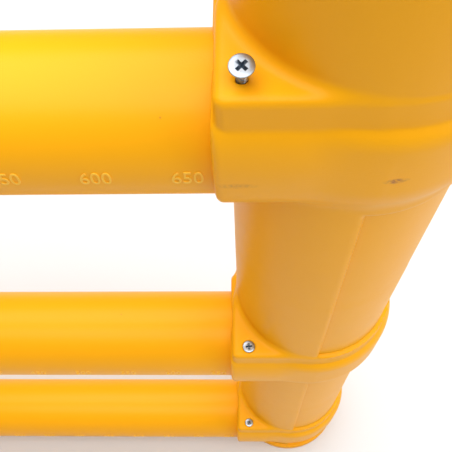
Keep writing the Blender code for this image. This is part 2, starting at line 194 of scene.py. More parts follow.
# ---------------------------------------------------------------- distance fields, for numpy arrays
def smooth_min(a, b, reach):
    blend = np.maximum(reach - np.abs(a - b), 0) / reach
    return np.minimum(a, b) - blend**2 * reach / 4


def smooth_max(a, b, reach):
    return -smooth_min(-a, -b, reach)


def filleted(a, b, radius):
    """Union of two bodies with a round fillet where they meet."""
    inner = np.hypot(np.maximum(radius - a, 0), np.maximum(radius - b, 0))
    return np.maximum(radius, np.minimum(a, b)) - inner


def rounded_corner(across, up, radius):
    """Distance from a quarter plane whose corner is rounded."""
    across, up = across + radius, up + radius
    outside = np.hypot(np.maximum(across, 0), np.maximum(up, 0))
    return outside + np.minimum(np.maximum(across, up), 0) - radius


def collar_section(across, height, sizes, swell, rise):
    """A collar's section: round under the rail's axis, swelling over it, then rounded in to its top."""
    radius = SOCKET_RADIUS + sizes.collar_wall
    out = np.clip((height + radius / 2) / (COLLAR_TOP - rise + radius / 2), 0, 1)
    full = radius + swell * out**2 * (3 - 2 * out)
    under = np.hypot(across, height) - full
    turn = np.clip((height - COLLAR_TOP + rise) / rise, 0, 1)
    wide = full - (full - radius + SHOULDER_DEPTH) * (1 - np.sqrt(1 - turn**2))
    over = np.maximum(across - wide, height - COLLAR_TOP)
    return np.where(height < 0, under, over)


def ledge_plan(x, y, round_post, sizes):
    """The ledge seen from above: a ring round the post and a block that reaches over the rail."""
    length = COLLAR_REACH - sizes.ledge_setback
    half = post_radius(sizes) - RAIL_OFFSET
    across = np.abs(x + length / 2) - length / 2
    along = np.abs(y + RAIL_OFFSET) - half
    radius = np.where(y + RAIL_OFFSET < 0, sizes.ledge_corner, sizes.ledge_sweep)
    return smooth_min(round_post - sizes.ledge_ring, rounded_corner(across, along, radius), 0.004)


def post_radius(sizes):
    return COLLAR_REACH - sizes.collar_ring


def post_field(sizes):
    """The post's distance field in its own frame, with its origin on the floor under its axis."""
    radius = post_radius(sizes)
    reach = SOCKET_RADIUS + sizes.collar_wall
    # where each screw's axis passes the ledge's top, its slope, and its countersink where it is driven home
    screws = []
    for seat, axis in zip(SEATS["right"], RAIL_HEIGHTS):
        out = seat.col[2].to_3d() / seat[2][2]
        over = seat.translation.z - axis - LEDGE_TOP
        spot = seat.translation - out * over - Vector((POST["right"].x, POST["right"].y, 0))
        hole, head = (TIGHT_HOLE_RADIUS, 0) if over > 0.001 else (HOLE_RADIUS, HEAD_RADIUS)
        screws.append((spot.x, spot.y, out.x, out.y, hole, head))
    screw_x, screw_y, slope_x, slope_y, hole, head = np.array(screws).T

    def field(x, y, z):
        rail = np.clip(np.round((z - RAIL_HEIGHTS[0]) / RAIL_PITCH), 0, len(RAILS) - 1).astype(int)
        height = z - RAIL_HEIGHTS[0] - rail * RAIL_PITCH
        round_post = np.hypot(x, y) - radius
        beside = y + RAIL_OFFSET

        span = np.where(height < 0, height + sizes.panel_top, LEDGE_TOP - height)
        span = np.where((rail == len(RAILS) - 1) & (height > 0), radius, span)
        panel = np.maximum(np.maximum(sizes.panel_edge - x, span), -sizes.panel_depth - round_post)
        post = smooth_max(round_post, -panel, sizes.panel_rounding)

        soft = np.clip((0.012 - x) / 0.03, 0, 1)
        fillet = 0.001 + (sizes.foot_fillet - 0.001) * soft
        ledge = filleted(post, height - LEDGE_TOP, fillet)
        rounding = sizes.ring_rounding + (sizes.ledge_rounding - sizes.ring_rounding) * soft
        ledge = smooth_max(ledge, ledge_plan(x, y, round_post, sizes), rounding)
        ledge = np.maximum(ledge, LEDGE_FOOT - height)

        swell = sizes.swell * np.sin(np.clip(-x / 0.05, 0, 1) * math.pi / 2) ** 2
        block = collar_section(np.abs(beside), height, sizes, swell, sizes.swell_rise)
        block = rounded_corner(block, -COLLAR_REACH - x, sizes.end_rounding)
        block = np.maximum(block, x)
        ring = collar_section(round_post + radius - COLLAR_REACH + reach, height, sizes, 0, sizes.shoulder)
        collar = np.maximum(smooth_min(block, ring, 0.006), -COLLAR_REACH - x)

        plinth = rounded_corner(round_post - sizes.plinth_ring, z - sizes.plinth_height, 0.002)
        body = np.minimum(smooth_min(post, collar, 0.004), plinth)
        body = smooth_min(body, ledge, 0.0012)

        socket = np.maximum(np.hypot(beside, height) - SOCKET_RADIUS, x + COLLAR_REACH - SOCKET_DEPTH)
        body = smooth_max(body, -socket, 0.0012)
        depth = LEDGE_TOP - height
        off = np.hypot(
            x - screw_x[rail] + slope_x[rail] * depth, y - screw_y[rail] + slope_y[rail] * depth)
        sink = (off - head[rail] - HEAD_GAP + np.clip(depth - 0.001, 0, 0.003)) * 0.7
        drill = np.minimum(
            np.maximum(off - hole[rail], depth - SCREW_LENGTH), np.maximum(sink, depth - SINK_DEPTH))
        body = smooth_max(body, -drill, 0.001)
        return np.maximum(body, np.maximum(-z, z - SHELL_TOP))

    return field


# ---------------------------------------------------------------- from a field to a mesh
def grid_line(stops):
    """Grid positions along one axis, from (start, step) pairs. The last pair's start is the end."""
    line = []
    for (start, step), (end, _) in zip(stops, stops[1:]):
        count = max(1, round((end - start) / step))
        line += [start + (end - start) * i / count for i in range(count)]
    return np.array(line + [stops[-1][0]])


def onto_level(field, points, limit, rounds=4):
    """Newton steps along the field's slope until the points lie on its zero level."""
    nudge = 1e-5
    for _ in range(rounds):
        value = field(*points.T)
        slope = np.stack([
            field(*(points + nudge * axis).T) - field(*(points - nudge * axis).T) for axis in np.eye(3)
        ], axis=1) / (2 * nudge)
        move = slope * (value / np.maximum((slope**2).sum(1), 0.05))[:, None]
        size = np.linalg.norm(move, axis=1, keepdims=True)
        points = points - move * np.minimum(1, limit / np.maximum(size, 1e-12))
    return points


def surface_net(field, lines):
    """Vertices and quads of the field's zero level: one vertex in each cell that the level crosses."""
    values = field(*np.ix_(*lines))
    inside = values < 0
    shape = values.shape
    cells, places, quads = [], [], []
    for axis in range(3):
        u, v = (axis + 1) % 3, (axis + 2) % 3
        start = np.argwhere(np.diff(inside, axis=axis))
        keep = (start[:, u] > 0) & (start[:, v] > 0)
        keep &= (start[:, u] < shape[u] - 1) & (start[:, v] < shape[v] - 1)
        start = start[keep]
        end = start.copy()
        end[:, axis] += 1
        a, b = values[tuple(start.T)], values[tuple(end.T)]
        point = np.stack([line[start[:, i]] for i, line in enumerate(lines)], axis=1)
        line = lines[axis]
        point[:, axis] += (line[end[:, axis]] - line[start[:, axis]]) * a / (a - b)
        corners = []
        for du, dv in ((0, 0), (1, 0), (1, 1), (0, 1)):
            cell = start.copy()
            cell[:, u] -= du
            cell[:, v] -= dv
            corners.append(np.ravel_multi_index(tuple(cell.T), shape))
            cells.append(corners[-1])
            places.append(point)
        quad = np.stack(corners, axis=1)
        quad[a >= 0] = quad[a >= 0][:, ::-1]
        quads.append(quad)
    used, where = np.unique(np.concatenate(cells), return_inverse=True)
    places = np.concatenate(places)
    count = np.bincount(where)
    points = np.stack([np.bincount(where, places[:, i]) / count for i in range(3)], axis=1)
    return points, np.searchsorted(used, np.concatenate(quads))


# ---------------------------------------------------------------- mesh helpers
def new_object(name, mesh):
    made = bpy.data.objects.new(name, mesh)
    bpy.context.scene.collection.objects.link(made)
    return made


def object_from(name, bm, finish=None, sharp=40):
    bmesh.ops.recalc_face_normals(bm, faces=bm.faces)
    mesh = bpy.data.meshes.new(name)
    bm.to_mesh(mesh)
    bm.free()
    made = new_object(name, mesh)
    if finish:
        mesh.materials.append(finish)
    mesh.shade_smooth()
    mesh.set_sharp_from_angle(angle=math.radians(sharp))
    return made


def rounded(profile, radius, steps=3):
    """A closed outline of (radius, z) points with its corners rounded by one radius, or one for each."""
    out = []
    count = len(profile)
    for i, corner in enumerate(profile):
        reach = radius[i] if isinstance(radius, (list, tuple)) else radius
        before, here, after = (Vector(profile[(i + k) % count]) for k in (-1, 0, 1))
        reach = min(reach, (before - here).length * 0.45, (after - here).length * 0.45)
        if reach <= 0:
            out.append(tuple(corner))
            continue
        start = here + (before - here).normalized() * reach
        end = here + (after - here).normalized() * reach
        for k in range(steps + 1):
            t = k / steps
            out.append(tuple(start * (1 - t) ** 2 + here * 2 * t * (1 - t) + end * t**2))
    return out


def ring_at(bm, radius, z, steps):
    """A ring of vertices round Z, or one vertex where the radius is nothing."""
    if radius < 1e-7:
        return [bm.verts.new((0, 0, z))]
    turns = [2 * math.pi * i / steps for i in range(steps)]
    return [bm.verts.new((radius * math.cos(t), radius * math.sin(t), z)) for t in turns]


def skin(bm, pairs, steps):
    """Faces between the rings of each pair."""
    for low, high in pairs:
        for i in range(steps):
            corners = [low[i % len(low)], low[(i + 1) % len(low)],
                       high[(i + 1) % len(high)], high[i % len(high)]]
            corners = [v for k, v in enumerate(corners) if v is not corners[k - 1]]
            if len(corners) >= 3:
                bm.faces.new(corners)


def turned(profile, steps, closed=True):
    """Turns (radius, z) points about Z. Where closed is off, the profile starts and ends on the axis."""
    bm = bmesh.new()
    rings = [ring_at(bm, radius, z, steps) for radius, z in profile]
    skin(bm, list(zip(rings, rings[1:])) + ([(rings[-1], rings[0])] if closed else []), steps)
    return bm


def along_x(bm, place, towards=1):
    """Lays a turned shape along X, its +Z towards +X or -X, with its foot at place."""
    turn = Matrix.Rotation(math.radians(90 * towards), 4, "Y")
    bmesh.ops.transform(bm, matrix=Matrix.Translation(place) @ turn, verts=bm.verts)
    return bm


def baked(made):
    """The object's evaluated mesh in place of its modifiers."""
    evaluated = made.evaluated_get(bpy.context.evaluated_depsgraph_get())
    mesh = bpy.data.meshes.new_from_object(evaluated)
    made.modifiers.clear()
    made.data = mesh
    return made


def carve(target, tools, sharp=40):
    """Cuts the tools out of the target and removes them."""
    for tool in tools:
        change = target.modifiers.new("cut", "BOOLEAN")
        change.operation = "DIFFERENCE"
        change.solver = "MANIFOLD"
        change.object = tool
    baked(target)
    for tool in tools:
        bpy.data.objects.remove(tool)
    target.data.shade_smooth()
    target.data.set_sharp_from_angle(angle=math.radians(sharp))


# ---------------------------------------------------------------- node helpers
class Tree:
    """Adds nodes to a node tree and links them. Inputs are given by name or number."""

    def __init__(self, tree):
        self.tree = tree

    def add(self, kind, inputs=None, **settings):
        made = self.tree.nodes.new(kind)
        for name, value in settings.items():
            setattr(made, name, value)
        for key, value in (inputs or {}).items():
            self.feed(value, made.inputs[key])
        return made

    def feed(self, value, socket):
        if isinstance(value, bpy.types.NodeSocket):
            self.tree.links.new(value, socket)
        elif isinstance(value, bpy.types.Node):
            self.tree.links.new(value.outputs[0], socket)
        else:
            socket.default_value = value

    def math(self, operation, *values):
        return self.add("ShaderNodeMath", dict(enumerate(values)), operation=operation)


def new_group(name, kind, inputs, outputs):
    tree = bpy.data.node_groups.new(name, kind)
    for title, socket, value in inputs:
        made = tree.interface.new_socket(title, in_out="INPUT", socket_type=socket)
        if value is not None:
            made.default_value = value
    for title, socket in outputs:
        tree.interface.new_socket(title, in_out="OUTPUT", socket_type=socket)
    nodes = Tree(tree)
    return nodes, nodes.add("NodeGroupInput"), nodes.add("NodeGroupOutput")


def shared(name, build):
    """The node group of that name, built when it is first asked for."""
    return bpy.data.node_groups.get(name) or build(name)


# ---------------------------------------------------------------- effects shared by the finishes
def orange_peel_group(name):
    """Fine dimples of moulded plastic, with a slow change of tone and gloss."""
    nodes, given, result = new_group(
        name, "ShaderNodeTree",
        [("Dimples per Metre", "NodeSocketFloat", 900.0), ("Tone Change", "NodeSocketFloat", 0.05),
         ("Roughness", "NodeSocketFloat", 0.4), ("Roughness Change", "NodeSocketFloat", 0.08)],
        [("Tone", "NodeSocketFloat"), ("Roughness", "NodeSocketFloat"), ("Height", "NodeSocketFloat")])
    place = nodes.add("ShaderNodeTexCoord").outputs["Object"]
    dimples = nodes.add("ShaderNodeTexNoise",
        {"Vector": place, "Scale": given.outputs["Dimples per Metre"], "Detail": 2.0, "Roughness": 0.4})
    slow = nodes.add("ShaderNodeTexNoise",
        {"Vector": place, "Scale": 7.0, "Detail": 3.0, "Roughness": 0.55})
    cloudy = nodes.add("ShaderNodeTexNoise",
        {"Vector": place, "Scale": 55.0, "Detail": 4.0, "Roughness": 0.6})
    centred = nodes.math("SUBTRACT", slow.outputs["Fac"], 0.5)
    tone = nodes.math("MULTIPLY_ADD", centred, given.outputs["Tone Change"], 1.0)
    gloss = nodes.math("SUBTRACT", cloudy.outputs["Fac"], 0.5)
    rough = nodes.math("MULTIPLY_ADD", gloss, given.outputs["Roughness Change"], given.outputs["Roughness"])
    nodes.feed(tone, result.inputs["Tone"])
    nodes.feed(rough, result.inputs["Roughness"])
    nodes.feed(dimples.outputs["Fac"], result.inputs["Height"])
    return nodes.tree


def specks_group(name):
    """Sparse small specks of dirt, as a mask."""
    nodes, given, result = new_group(
        name, "ShaderNodeTree",
        [("Cells per Metre", "NodeSocketFloat", 60.0), ("Share", "NodeSocketFloat", 0.06),
         ("Radius", "NodeSocketFloat", 0.06)],
        [("Mask", "NodeSocketFloat")])
    place = nodes.add("ShaderNodeTexCoord").outputs["Object"]
    cells = nodes.add("ShaderNodeTexVoronoi", {"Vector": place, "Scale": given.outputs["Cells per Metre"]})
    pick = nodes.add("ShaderNodeTexWhiteNoise", {"Vector": cells.outputs["Position"]},
        noise_dimensions="3D").outputs["Value"]
    chosen = nodes.math("LESS_THAN", pick, given.outputs["Share"])
    inner = nodes.math("MULTIPLY", given.outputs["Radius"], 0.4)
    spot = nodes.add("ShaderNodeMapRange", {"Value": cells.outputs["Distance"], "From Min": inner,
        "From Max": given.outputs["Radius"], "To Min": 1.0, "To Max": 0.0})
    nodes.feed(nodes.math("MULTIPLY", spot, chosen), result.inputs["Mask"])
    return nodes.tree


def scuff_group(name):
    """One rubbed mark: an ellipse about a centre, broken up by noise, as a mask."""
    nodes, given, result = new_group(
        name, "ShaderNodeTree",
        [("Centre", "NodeSocketVector", (0, 0, 0)), ("Reach", "NodeSocketVector", (0.01, 0.01, 0.01)),
         ("Break Up", "NodeSocketFloat", 0.6)],
        [("Mask", "NodeSocketFloat")])
    place = nodes.add("ShaderNodeTexCoord").outputs["Object"]
    off = nodes.add("ShaderNodeVectorMath", {0: place, 1: given.outputs["Centre"]}, operation="SUBTRACT")
    scaled = nodes.add("ShaderNodeVectorMath", {0: off, 1: given.outputs["Reach"]}, operation="DIVIDE")
    length = nodes.add("ShaderNodeVectorMath", {0: scaled}, operation="LENGTH").outputs["Value"]
    fade = nodes.add("ShaderNodeMapRange", {"Value": length, "From Min": 0.1, "From Max": 1.0,
        "To Min": 1.0, "To Max": 0.0})
    grain = nodes.add("ShaderNodeTexNoise", {"Vector": place, "Scale": 420.0, "Detail": 4.0})
    half = nodes.math("MULTIPLY", given.outputs["Break Up"], 0.5)
    broken = nodes.math("SUBTRACT", grain.outputs["Fac"], half)
    mask = nodes.math("MULTIPLY", fade, nodes.math("MULTIPLY", broken, 4.0))
    mask.use_clamp = True
    nodes.feed(mask, result.inputs["Mask"])
    return nodes.tree


# ---------------------------------------------------------------- finishes
def new_material(name):
    """A new material, its nodes and its shader."""
    made = bpy.data.materials.new(name)
    made.use_nodes = True
    nodes = Tree(made.node_tree)
    return made, nodes, made.node_tree.nodes["Principled BSDF"]


def tinted(nodes, colour, tone):
    """A plain colour times a tone that changes over the surface."""
    return nodes.add("ShaderNodeVectorMath", {0: tuple(colour), 1: tone}, operation="MULTIPLY").outputs[0]


def mixed(nodes, mask, under, over):
    made = nodes.add("ShaderNodeMix", data_type="RGBA")
    nodes.feed(mask, made.inputs["Factor"])
    for value, socket in ((under, made.inputs["A"]), (over, made.inputs["B"])):
        nodes.feed(value if isinstance(value, bpy.types.NodeSocket) else (*value, 1.0), socket)
    return made.outputs["Result"]


def peeled_plastic(name, colour, roughness, peel, dirt=None, scuffs=(), share=0.05):
    """Moulded plastic: orange peel, slow tone, specks of dirt and any scuffs."""
    made, nodes, shader = new_material(name)
    skin = nodes.add("ShaderNodeGroup", node_tree=shared("Orange Peel", orange_peel_group))
    skin.inputs["Roughness"].default_value = roughness
    colour = tinted(nodes, colour, skin.outputs["Tone"])
    if dirt:
        specks = nodes.add("ShaderNodeGroup", node_tree=shared("Specks", specks_group))
        specks.inputs["Share"].default_value = share
        mask = nodes.math("MULTIPLY", specks.outputs["Mask"], 0.55)
        colour = mixed(nodes, mask.outputs[0], colour, dirt)
    for centre, reach, strength in scuffs:
        scuff = nodes.add("ShaderNodeGroup", node_tree=shared("Scuff", scuff_group))
        scuff.inputs["Centre"].default_value = centre
        scuff.inputs["Reach"].default_value = reach
        mask = nodes.math("MULTIPLY", scuff.outputs["Mask"], strength)
        colour = mixed(nodes, mask.outputs[0], colour, dirt)
    nodes.feed(colour, shader.inputs["Base Color"])
    nodes.feed(skin.outputs["Roughness"], shader.inputs["Roughness"])
    bump = nodes.add("ShaderNodeBump",
        {"Strength": peel, "Distance": 0.0003, "Height": skin.outputs["Height"]})
    nodes.feed(bump, shader.inputs["Normal"])
    shader.inputs["Specular IOR Level"].default_value = 0.16
    return made


def collar_scuffs():
    """Rubbed marks on the front of the right post's upper collar."""
    post, axis = POST["right"], RAIL_HEIGHTS[2]
    front = post.y - RAIL_OFFSET - SOCKET_RADIUS - 0.005
    return [
        ((post.x - 0.0745, front, axis + 0.0085), (0.014, 0.012, 0.0035), 0.35),
        ((post.x + 0.008, post.y - COLLAR_REACH, axis + 0.0115), (0.008, 0.012, 0.0028), 0.85),
    ]


def metal(name, colour, roughness, grain, spangle=0.0):
    """Plated steel: fine grain in its gloss, with flat crystals where spangle is set."""
    made, nodes, shader = new_material(name)
    skin = nodes.add("ShaderNodeGroup", node_tree=shared("Orange Peel", orange_peel_group))
    for title, value in (("Dimples per Metre", 2600.0), ("Tone Change", 0.10), ("Roughness", roughness),
                         ("Roughness Change", 0.2)):
        skin.inputs[title].default_value = value
    tone = skin.outputs["Tone"]
    if spangle:
        place = nodes.add("ShaderNodeTexCoord").outputs["Object"]
        cells = nodes.add("ShaderNodeTexVoronoi", {"Vector": place, "Scale": 160.0})
        bright = nodes.add("ShaderNodeSeparateColor", {0: cells.outputs["Color"]}).outputs[0]
        darker = nodes.math("SUBTRACT", tone, spangle / 2)
        tone = nodes.math("MULTIPLY_ADD", bright, spangle, darker).outputs[0]
    nodes.feed(tinted(nodes, colour, tone), shader.inputs["Base Color"])
    nodes.feed(skin.outputs["Roughness"], shader.inputs["Roughness"])
    bump = nodes.add("ShaderNodeBump",
        {"Strength": grain, "Distance": 0.0001, "Height": skin.outputs["Height"]})
    nodes.feed(bump, shader.inputs["Normal"])
    shader.inputs["Metallic"].default_value = 1.0
    return made


def finish(name):
    """One of the object's finishes, made when it is first asked for."""
    found = bpy.data.materials.get(name)
    if found:
        return found
    look = bpy.context.scene.barrier_finishes
    if name == "post_polyethylene":
        return peeled_plastic(name, look.yellow, 0.40, look.peel, look.dirt, collar_scuffs(), share=0.03)
    if name == "tube_polyethylene":
        return peeled_plastic(name, look.yellow, 0.36, look.peel * 0.7, look.dirt, share=0.10)
    # Raised numbers: the tube's plastic in a lighter colour, which is a painted highlight.
    if name == "raised_marks":
        return peeled_plastic(name, look.marks, 0.36, look.peel * 0.5)
    if name == "screw_zinc":
        return metal(name, look.zinc, 0.34, 0.15)
    if name == "dull_galvanised":
        return metal(name, (0.55, 0.57, 0.58), 0.48, 0.25, spangle=0.22)
    return peeled_plastic(name, (0.03, 0.03, 0.032), 0.5, 0.3)


# ---------------------------------------------------------------- posts
def post_grid(sizes):
    cell = sizes.cell
    edge = COLLAR_REACH + cell
    x = grid_line([(-edge, 0.0013), (-0.061, cell), (edge, cell)])
    y = grid_line([(-edge, 0.0014), (-0.060, cell), (edge, cell)])
    stops = [(-cell, 0.0015), (0.019, 0.004)]
    for axis in RAIL_HEIGHTS:
        stops += [(axis - 0.056, cell), (axis + 0.036, 0.0016), (axis + LEDGE_TOP + 0.010, 0.009)]
    return x, y, grid_line(stops + [(SHELL_TOP - 0.004, 0.002), (SHELL_TOP + 0.004, 0.002)])


def post_mesh(sizes):
    """The right post's shell in its own frame, without its inside."""
    field = post_field(sizes)
    points, quads = surface_net(field, post_grid(sizes))
    points = onto_level(field, points, sizes.cell * 0.4)
    points[:, 2] = np.clip(points[:, 2], 0, SHELL_TOP)
    mesh = bpy.data.meshes.new("post_shell")
    mesh.from_pydata(points.tolist(), [], quads.tolist())
    return mesh


def cap_profile():
    rim, skirt, seat = CAP_RADIUS, CAVITY_RADIUS - 0.0003, SHELL_TOP + 0.0003
    wall, edge = 0.003, 0.010
    rise = CAP_TOP - seat - edge
    dome = [math.radians(90 * i / 16) for i in range(17)]
    outer = [(rim * math.cos(a), seat + edge + rise * math.sin(a)) for a in dome]
    inner = [((skirt - wall) * math.cos(a), seat + (rise + edge - 2 * wall) * math.sin(a)) for a in dome]
    outer[-1], inner[-1] = (0, outer[-1][1]), (0, inner[-1][1])
    lip = [(rim - 0.0008, seat), (rim, seat + 0.0008)]
    return inner[::-1] + [(skirt - wall, CAP_FOOT), (skirt, CAP_FOOT), (skirt, seat)] + lip + outer


def place_in_post(mesh, side):
    """Moves a mesh from the post's own frame to its place. The left post mirrors the right one."""
    hand = 1 if side == "right" else -1
    mesh.transform(Matrix.Translation((POST[side].x, POST[side].y, 0)) @ Matrix.Diagonal((hand, 1, 1, 1)))
    if hand < 0:
        mesh.flip_normals()


class BARRIER_OT_posts(bpy.types.Operator):
    """Make both moulded posts and their caps"""

    bl_idname = "barrier.posts"
    bl_label = "Posts"

    def execute(self, context):
        sizes = context.scene.barrier_post
        source = post_mesh(sizes)
        for side in SIDES:
            mesh = source.copy()
            mesh.materials.append(finish("post_polyethylene"))
            shell = new_object("moulded_post_" + side, mesh)
            bore = turned([(0, -0.01), (CAVITY_RADIUS, -0.01), (CAVITY_RADIUS, SHELL_TOP + 0.01),
                           (0, SHELL_TOP + 0.01)], 72, closed=False)
            carve(shell, [object_from("cavity", bore, finish("post_polyethylene"))])
            place_in_post(shell.data, side)
            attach(shell, side + "_half")
            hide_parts("post_shell_" + side)
            cap = object_from("domed_cap_" + side, turned(cap_profile(), 96, closed=False),
                              finish("post_polyethylene"))
            place_in_post(cap.data, side)
            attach(cap, side + "_half")
            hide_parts("post_cap_" + side)
        bpy.data.meshes.remove(source)
        return {"FINISHED"}


# ---------------------------------------------------------------- rails
def scale_tree(name):
    """Raised numbers at even steps along a tube, wrapped onto its front."""
    nodes, given, result = new_group(
        name, "GeometryNodeTree",
        [("Marks", "NodeSocketInt", 13), ("Step", "NodeSocketFloat", 50.0),
         ("Digit Height", "NodeSocketFloat", 0.0100),
         ("Narrowing", "NodeSocketFloat", 0.88), ("Relief", "NodeSocketFloat", 0.00055),
         ("Sunk", "NodeSocketFloat", 0.0005), ("Tube Radius", "NodeSocketFloat", 0.047),
         ("Zero", "NodeSocketFloat", 0.0), ("Rail Height", "NodeSocketFloat", 0.0),
         ("Rail Y", "NodeSocketFloat", 0.0),
         ("Elevation", "NodeSocketFloat", 0.07), ("Material", "NodeSocketMaterial", None)],
        [("Geometry", "NodeSocketGeometry")])
    value = given.outputs
    begin = nodes.add("GeometryNodeRepeatInput")
    end = nodes.add("GeometryNodeRepeatOutput")
    begin.pair_with_output(end)
    nodes.feed(value["Marks"], begin.inputs["Iterations"])
    number = nodes.math("MULTIPLY", nodes.math("ADD", begin.outputs["Iteration"], 1.0), value["Step"])
    text = nodes.add("FunctionNodeValueToString", {"Value": number})
    glyphs = nodes.add("GeometryNodeStringToCurves",
        {"String": text, "Size": nodes.math("MULTIPLY", value["Digit Height"], 1.37)},
        align_x="CENTER", align_y="MIDDLE")
    outline = nodes.add("GeometryNodeRealizeInstances", {0: glyphs.outputs["Curve Instances"]})
    face = nodes.add("GeometryNodeFillCurve", {0: outline})
    thick = nodes.math("ADD", value["Relief"], value["Sunk"])
    raised = nodes.add("GeometryNodeExtrudeMesh",
        {"Mesh": face, "Offset Scale": thick, "Individual": False})
    under = nodes.add("GeometryNodeFlipFaces", {0: face})
    solid = nodes.add("GeometryNodeJoinGeometry")
    nodes.feed(raised.outputs["Mesh"], solid.inputs[0])
    nodes.feed(under, solid.inputs[0])
    solid = nodes.add("GeometryNodeMergeByDistance", {"Geometry": solid, "Distance": 1e-6})
    along = nodes.math("ADD", nodes.math("MULTIPLY", number, 0.001), value["Zero"])
    placed = nodes.add("GeometryNodeTransform", {
        "Geometry": solid,
        "Translation": nodes.add("ShaderNodeCombineXYZ", {"X": along}),
        "Scale": nodes.add("ShaderNodeCombineXYZ", {"X": value["Narrowing"], "Y": 1.0, "Z": 1.0})})
    joined = nodes.add("GeometryNodeJoinGeometry")
    nodes.feed(begin.outputs["Geometry"], joined.inputs[0])
    nodes.feed(placed, joined.inputs[0])
    nodes.feed(joined, end.inputs["Geometry"])
    flat = nodes.add("ShaderNodeSeparateXYZ", {0: nodes.add("GeometryNodeInputPosition")})
    turn = nodes.math("DIVIDE", flat.outputs["Y"], value["Tube Radius"])
    turn = nodes.math("ADD", turn, value["Elevation"])
    depth = nodes.math("SUBTRACT", value["Tube Radius"], value["Sunk"])
    reach = nodes.math("ADD", flat.outputs["Z"], depth)
    across = nodes.math("MULTIPLY", reach, nodes.math("COSINE", turn))
    up = nodes.math("MULTIPLY", reach, nodes.math("SINE", turn))
    front = nodes.math("SUBTRACT", value["Rail Y"], across)
    height = nodes.math("ADD", value["Rail Height"], up)
    wrapped = nodes.add("GeometryNodeSetPosition", {
        "Geometry": end.outputs["Geometry"],
        "Position": nodes.add("ShaderNodeCombineXYZ", {"X": flat.outputs["X"], "Y": front, "Z": height})})
    real = nodes.add("GeometryNodeRealizeInstances", {0: wrapped})
    nodes.feed(nodes.add("GeometryNodeSetMaterial", {"Geometry": real, "Material": value["Material"]}),
               result.inputs["Geometry"])
    return nodes.tree


def run_tree(made, tree, values):
    """Gives the object the tree with these inputs, and keeps only the mesh that it makes."""
    change = made.modifiers.new("nodes", "NODES")
    change.node_group = tree
    for item in tree.interface.items_tree:
        if item.in_out == "INPUT" and item.name in values:
            change[item.identifier] = values[item.name]
    return baked(made)


def raised_scale(rail, sizes):
    """The numbers of one scale tube, as a mesh."""
    made = new_object("marks", bpy.data.meshes.new("marks"))
    return run_tree(made, shared("Raised Scale", scale_tree), {
        "Marks": sizes.marks, "Step": float(sizes.step), "Digit Height": sizes.digit_height,
        "Narrowing": sizes.narrowing, "Relief": sizes.relief, "Tube Radius": TUBE_RADIUS,
        "Zero": SCALE_ZERO, "Rail Height": RAIL_HEIGHTS[rail], "Rail Y": RAIL_Y,
        "Elevation": sizes.elevation, "Material": finish("raised_marks")})


def join_into(target, other):
    """Adds the other object's mesh to the target's, as loose shells of one piece."""
    for slot in other.data.materials:
        target.data.materials.append(slot)
    first = len(target.data.materials) - len(other.data.materials)
    for face in other.data.polygons:
        face.material_index += first
    bm = bmesh.new()
    bm.from_mesh(target.data)
    bm.from_mesh(other.data)
    bm.to_mesh(target.data)
    bm.free()
    bpy.data.objects.remove(other)


def tube_profile(low, high, wall):
    return rounded([(TUBE_RADIUS - wall, low), (TUBE_RADIUS, low), (TUBE_RADIUS, high),
                    (TUBE_RADIUS - wall, high)], 0.0008)


class BARRIER_OT_scale_tubes(bpy.types.Operator):
    """Make the thin tubes with their raised marks"""

    bl_idname = "barrier.scale_tubes"
    bl_label = "Scale Tubes"

    def execute(self, context):
        sizes = context.scene.barrier_scale
        for rail, name in enumerate(RAILS):
            low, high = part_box("scale_tube_" + name)
            profile = tube_profile(0, high.x - low.x, 0.005)
            tube = object_from("marked_tube_" + name,
                               along_x(turned(profile, 128), (low.x, RAIL_Y, RAIL_HEIGHTS[rail])),
                               finish("tube_polyethylene"))
            join_into(tube, raised_scale(rail, sizes))
            tube.data.set_sharp_from_angle(angle=math.radians(40))
            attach(tube, "right_half")
            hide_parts("scale_tube_" + name)
        return {"FINISHED"}


def lock_hole(rail):
    """Countersunk hole through a clamp and the wide tube under it."""
    place = middle("lock_screw_" + RAILS[rail])
    top = RAIL_HEIGHTS[rail] + CLAMP_RADIUS
    hole, sink = HOLE_RADIUS, HEAD_RADIUS + HEAD_GAP
    profile = [(0, top - 0.014), (hole, top - 0.014), (hole, top - SINK_DEPTH), (sink, top - 0.0011),
               (sink, top + 0.01), (0, top + 0.01)]
    bm = turned(profile, 32, closed=False)
    bmesh.ops.translate(bm, vec=(place.x, place.y, 0), verts=bm.verts)
    return object_from("lock_hole", bm, finish("tube_polyethylene"))


